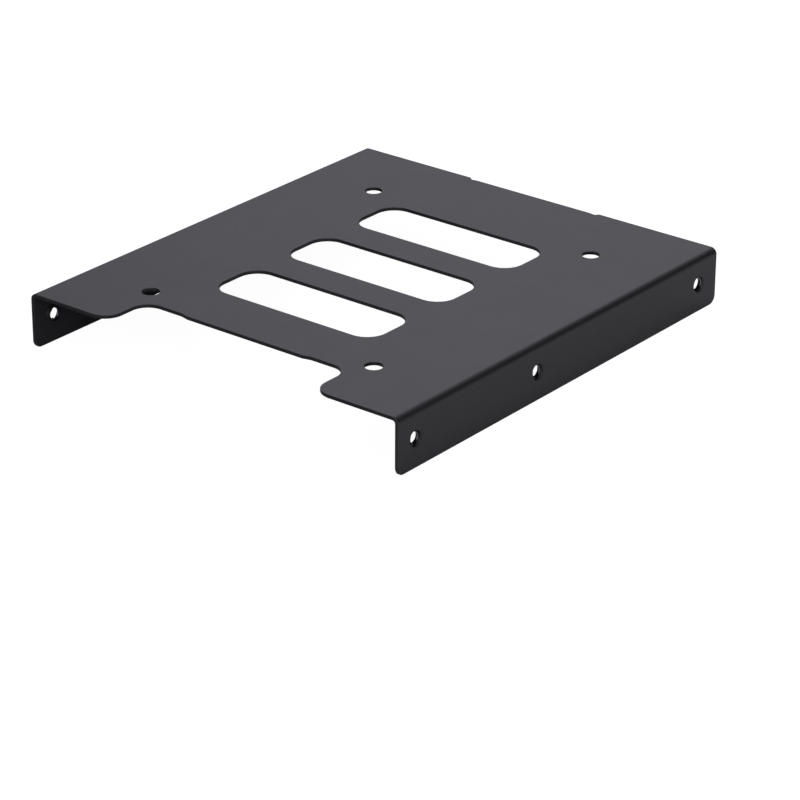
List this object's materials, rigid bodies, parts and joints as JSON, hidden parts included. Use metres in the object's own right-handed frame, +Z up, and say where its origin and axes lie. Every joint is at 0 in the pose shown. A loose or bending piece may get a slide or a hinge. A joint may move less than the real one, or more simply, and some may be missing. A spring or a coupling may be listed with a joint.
{
  "type": "drive bay adapter bracket",
  "caption": "Folded black steel bracket with a slotted plate and tapped side flanges, which holds a small disk drive in a larger drive bay.",
  "frame": {"origin": "middle of the footprint, on the plane of the flanges' lower edges", "axes": "+Y from the notched front edge to the back edge, +X across the plate to the right flange, +Z up, from the flanges' lower edges to the plate"},
  "size_m": [0.101, 0.1142, 0.0131],
  "materials": {
    "black_coat": "satin powder coat"
  },
  "bodies": {
    "root": {"bracket": "black_coat"}
  },
  "joints": []
}
